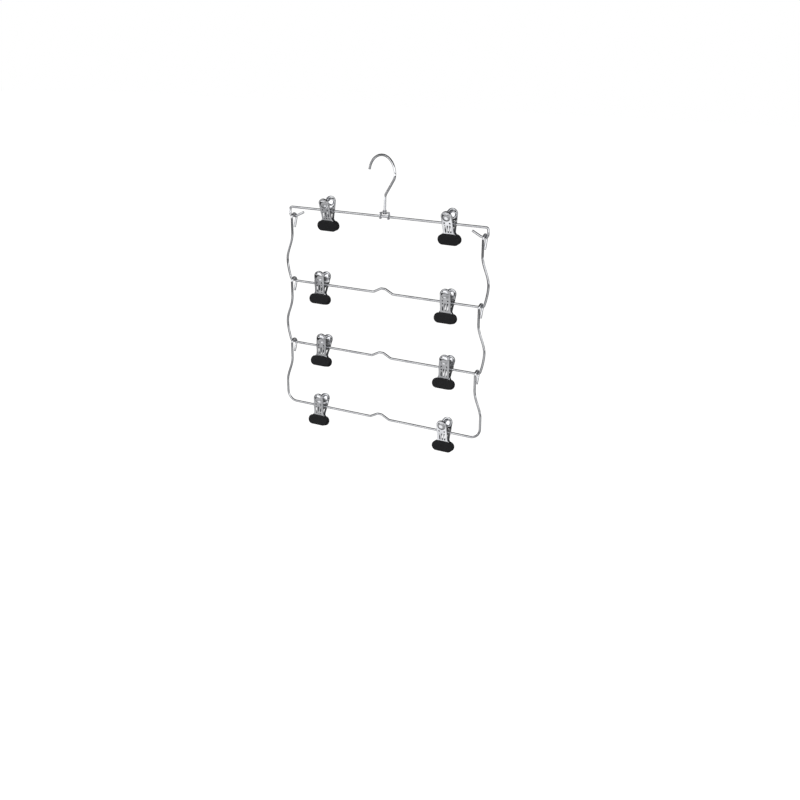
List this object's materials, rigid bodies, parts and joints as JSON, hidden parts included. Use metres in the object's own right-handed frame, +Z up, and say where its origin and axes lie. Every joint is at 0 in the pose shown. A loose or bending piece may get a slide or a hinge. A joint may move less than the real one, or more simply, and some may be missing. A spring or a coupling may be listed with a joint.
{
  "type": "tiered trouser hanger",
  "caption": "Wire trouser hanger with a swivel hook over hanging tiers, each bar carrying spring clips that slide, swing and open.",
  "frame": {"origin": "inside of the hook's crown, where the hanger sits on its rail", "axes": "+Z up along the hanging tiers, +X along the bars to the right in the picture, +Y away from the viewer along the rail"},
  "size_m": [0.333, 0.0335, 0.4195],
  "materials": {
    "chrome_wire": "bright plated round wire",
    "chrome_sheet": "bright plated pressed sheet",
    "spring_steel": "plain spring wire",
    "black_rubber": "matt black grip"
  },
  "bodies": {
    "hook": {"hook": "chrome_wire"},
    "swivel_bracket": {"swivel_bracket": "chrome_sheet"},
    "top_bar": {"top_bar": "chrome_wire"},
    "tier_2": {"tier_2_wire": "chrome_wire"},
    "tier_3": {"tier_3_wire": "chrome_wire"},
    "tier_4": {"tier_4_wire": "chrome_wire"},
    "clip_1_left_slider": {"clip_1_left_spring": "spring_steel"},
    "clip_1_left_rear_jaw": {"clip_1_left_rear_plate": "chrome_sheet", "clip_1_left_rear_pad": "black_rubber"},
    "clip_1_left_front_jaw": {"clip_1_left_front_plate": "chrome_sheet", "clip_1_left_front_pad": "black_rubber"},
    "clip_1_right_slider": {"clip_1_right_spring": "spring_steel"},
    "clip_1_right_rear_jaw": {"clip_1_right_rear_plate": "chrome_sheet", "clip_1_right_rear_pad": "black_rubber"},
    "clip_1_right_front_jaw": {"clip_1_right_front_plate": "chrome_sheet", "clip_1_right_front_pad": "black_rubber"},
    "clip_2_left_slider": {"clip_2_left_spring": "spring_steel"},
    "clip_2_left_rear_jaw": {"clip_2_left_rear_plate": "chrome_sheet", "clip_2_left_rear_pad": "black_rubber"},
    "clip_2_left_front_jaw": {"clip_2_left_front_plate": "chrome_sheet", "clip_2_left_front_pad": "black_rubber"},
    "clip_2_right_slider": {"clip_2_right_spring": "spring_steel"},
    "clip_2_right_rear_jaw": {"clip_2_right_rear_plate": "chrome_sheet", "clip_2_right_rear_pad": "black_rubber"},
    "clip_2_right_front_jaw": {"clip_2_right_front_plate": "chrome_sheet", "clip_2_right_front_pad": "black_rubber"},
    "clip_3_left_slider": {"clip_3_left_spring": "spring_steel"},
    "clip_3_left_rear_jaw": {"clip_3_left_rear_plate": "chrome_sheet", "clip_3_left_rear_pad": "black_rubber"},
    "clip_3_left_front_jaw": {"clip_3_left_front_plate": "chrome_sheet", "clip_3_left_front_pad": "black_rubber"},
    "clip_3_right_slider": {"clip_3_right_spring": "spring_steel"},
    "clip_3_right_rear_jaw": {"clip_3_right_rear_plate": "chrome_sheet", "clip_3_right_rear_pad": "black_rubber"},
    "clip_3_right_front_jaw": {"clip_3_right_front_plate": "chrome_sheet", "clip_3_right_front_pad": "black_rubber"},
    "clip_4_left_slider": {"clip_4_left_spring": "spring_steel"},
    "clip_4_left_rear_jaw": {"clip_4_left_rear_plate": "chrome_sheet", "clip_4_left_rear_pad": "black_rubber"},
    "clip_4_left_front_jaw": {"clip_4_left_front_plate": "chrome_sheet", "clip_4_left_front_pad": "black_rubber"},
    "clip_4_right_slider": {"clip_4_right_spring": "spring_steel"},
    "clip_4_right_rear_jaw": {"clip_4_right_rear_plate": "chrome_sheet", "clip_4_right_rear_pad": "black_rubber"},
    "clip_4_right_front_jaw": {"clip_4_right_front_plate": "chrome_sheet", "clip_4_right_front_pad": "black_rubber"}
  },
  "joints": [
    {"name": "hook_swivel", "type": "hinge", "parent": "hook", "child": "swivel_bracket", "pos_m": [0.0072, -0.0021, -0.077], "axis": [0, 0, 1], "continuous": true},
    {"name": "top_bar_rock", "type": "hinge", "parent": "swivel_bracket", "child": "top_bar", "pos_m": [0.0072, -0.0021, -0.083], "axis": [1, 0, 0], "range_deg": [-90, 90]},
    {"name": "tier_2_swing", "type": "hinge", "parent": "top_bar", "child": "tier_2", "pos_m": [0.0082, -0.0021, -0.0963], "axis": [1, 0, 0], "range_deg": [-75, 75]},
    {"name": "tier_3_swing", "type": "hinge", "parent": "tier_2", "child": "tier_3", "pos_m": [0.0082, -0.0021, -0.1926], "axis": [1, 0, 0], "range_deg": [-75, 75]},
    {"name": "tier_4_swing", "type": "hinge", "parent": "tier_3", "child": "tier_4", "pos_m": [0.0082, -0.0021, -0.2889], "axis": [1, 0, 0], "range_deg": [-75, 75]},
    {"name": "clip_1_left_slide", "type": "slide", "parent": "top_bar", "child": "clip_1_left_slider", "axis": [1, 0, 0], "range_m": [-0.0302, 0.0648]},
    {"name": "clip_1_left_swing", "type": "hinge", "parent": "clip_1_left_slider", "child": "clip_1_left_rear_jaw", "pos_m": [-0.0876, -0.0021, -0.083], "axis": [1, 0, 0], "continuous": true, "deforming": ["clip_1_left_spring"]},
    {"name": "clip_1_left_open", "type": "hinge", "parent": "clip_1_left_rear_jaw", "child": "clip_1_left_front_jaw", "pos_m": [-0.0876, -0.0021, -0.083], "axis": [-1, 0, 0], "range_deg": [0, 45], "stiffness_Nm_per_rad": 0.15, "springref_deg": -45.84, "deforming": ["clip_1_left_spring"]},
    {"name": "clip_1_right_slide", "type": "slide", "parent": "top_bar", "child": "clip_1_right_slider", "axis": [1, 0, 0], "range_m": [-0.0716, 0.0234]},
    {"name": "clip_1_right_swing", "type": "hinge", "parent": "clip_1_right_slider", "child": "clip_1_right_rear_jaw", "pos_m": [0.1088, -0.0021, -0.083], "axis": [1, 0, 0], "continuous": true, "deforming": ["clip_1_right_spring"]},
    {"name": "clip_1_right_open", "type": "hinge", "parent": "clip_1_right_rear_jaw", "child": "clip_1_right_front_jaw", "pos_m": [0.1088, -0.0021, -0.083], "axis": [-1, 0, 0], "range_deg": [0, 45], "stiffness_Nm_per_rad": 0.15, "springref_deg": -45.84, "deforming": ["clip_1_right_spring"]},
    {"name": "clip_2_left_slide", "type": "slide", "parent": "tier_2", "child": "clip_2_left_slider", "axis": [1, 0, 0], "range_m": [-0.03, 0.075]},
    {"name": "clip_2_left_swing", "type": "hinge", "parent": "clip_2_left_slider", "child": "clip_2_left_rear_jaw", "pos_m": [-0.0968, -0.00205, -0.1934], "axis": [1, 0, 0], "continuous": true, "deforming": ["clip_2_left_spring"]},
    {"name": "clip_2_left_open", "type": "hinge", "parent": "clip_2_left_rear_jaw", "child": "clip_2_left_front_jaw", "pos_m": [-0.0968, -0.00205, -0.1934], "axis": [-1, 0, 0], "range_deg": [0, 45], "stiffness_Nm_per_rad": 0.15, "springref_deg": -45.84, "deforming": ["clip_2_left_spring"]},
    {"name": "clip_2_right_slide", "type": "slide", "parent": "tier_2", "child": "clip_2_right_slider", "axis": [1, 0, 0], "range_m": [-0.073, 0.032]},
    {"name": "clip_2_right_swing", "type": "hinge", "parent": "clip_2_right_slider", "child": "clip_2_right_rear_jaw", "pos_m": [0.1112, -0.00205, -0.1934], "axis": [1, 0, 0], "continuous": true, "deforming": ["clip_2_right_spring"]},
    {"name": "clip_2_right_open", "type": "hinge", "parent": "clip_2_right_rear_jaw", "child": "clip_2_right_front_jaw", "pos_m": [0.1112, -0.00205, -0.1934], "axis": [-1, 0, 0], "range_deg": [0, 45], "stiffness_Nm_per_rad": 0.15, "springref_deg": -45.84, "deforming": ["clip_2_right_spring"]},
    {"name": "clip_3_left_slide", "type": "slide", "parent": "tier_3", "child": "clip_3_left_slider", "axis": [1, 0, 0], "range_m": [-0.034, 0.071]},
    {"name": "clip_3_left_swing", "type": "hinge", "parent": "clip_3_left_slider", "child": "clip_3_left_rear_jaw", "pos_m": [-0.0928, -0.00205, -0.2897], "axis": [1, 0, 0], "continuous": true, "deforming": ["clip_3_left_spring"]},
    {"name": "clip_3_left_open", "type": "hinge", "parent": "clip_3_left_rear_jaw", "child": "clip_3_left_front_jaw", "pos_m": [-0.0928, -0.00205, -0.2897], "axis": [-1, 0, 0], "range_deg": [0, 45], "stiffness_Nm_per_rad": 0.15, "springref_deg": -45.84, "deforming": ["clip_3_left_spring"]},
    {"name": "clip_3_right_slide", "type": "slide", "parent": "tier_3", "child": "clip_3_right_slider", "axis": [1, 0, 0], "range_m": [-0.076, 0.029]},
    {"name": "clip_3_right_swing", "type": "hinge", "parent": "clip_3_right_slider", "child": "clip_3_right_rear_jaw", "pos_m": [0.1142, -0.00205, -0.2897], "axis": [1, 0, 0], "continuous": true, "deforming": ["clip_3_right_spring"]},
    {"name": "clip_3_right_open", "type": "hinge", "parent": "clip_3_right_rear_jaw", "child": "clip_3_right_front_jaw", "pos_m": [0.1142, -0.00205, -0.2897], "axis": [-1, 0, 0], "range_deg": [0, 45], "stiffness_Nm_per_rad": 0.15, "springref_deg": -45.84, "deforming": ["clip_3_right_spring"]},
    {"name": "clip_4_left_slide", "type": "slide", "parent": "tier_4", "child": "clip_4_left_slider", "axis": [1, 0, 0], "range_m": [-0.033, 0.075]},
    {"name": "clip_4_left_swing", "type": "hinge", "parent": "clip_4_left_slider", "child": "clip_4_left_rear_jaw", "pos_m": [-0.0968, -0.00205, -0.386], "axis": [1, 0, 0], "continuous": true, "deforming": ["clip_4_left_spring"]},
    {"name": "clip_4_left_open", "type": "hinge", "parent": "clip_4_left_rear_jaw", "child": "clip_4_left_front_jaw", "pos_m": [-0.0968, -0.00205, -0.386], "axis": [-1, 0, 0], "range_deg": [0, 45], "stiffness_Nm_per_rad": 0.15, "springref_deg": -45.84, "deforming": ["clip_4_left_spring"]},
    {"name": "clip_4_right_slide", "type": "slide", "parent": "tier_4", "child": "clip_4_right_slider", "axis": [1, 0, 0], "range_m": [-0.078, 0.03]},
    {"name": "clip_4_right_swing", "type": "hinge", "parent": "clip_4_right_slider", "child": "clip_4_right_rear_jaw", "pos_m": [0.1162, -0.00205, -0.386], "axis": [1, 0, 0], "continuous": true, "deforming": ["clip_4_right_spring"]},
    {"name": "clip_4_right_open", "type": "hinge", "parent": "clip_4_right_rear_jaw", "child": "clip_4_right_front_jaw", "pos_m": [0.1162, -0.00205, -0.386], "axis": [-1, 0, 0], "range_deg": [0, 45], "stiffness_Nm_per_rad": 0.15, "springref_deg": -45.84, "deforming": ["clip_4_right_spring"]}
  ]
}
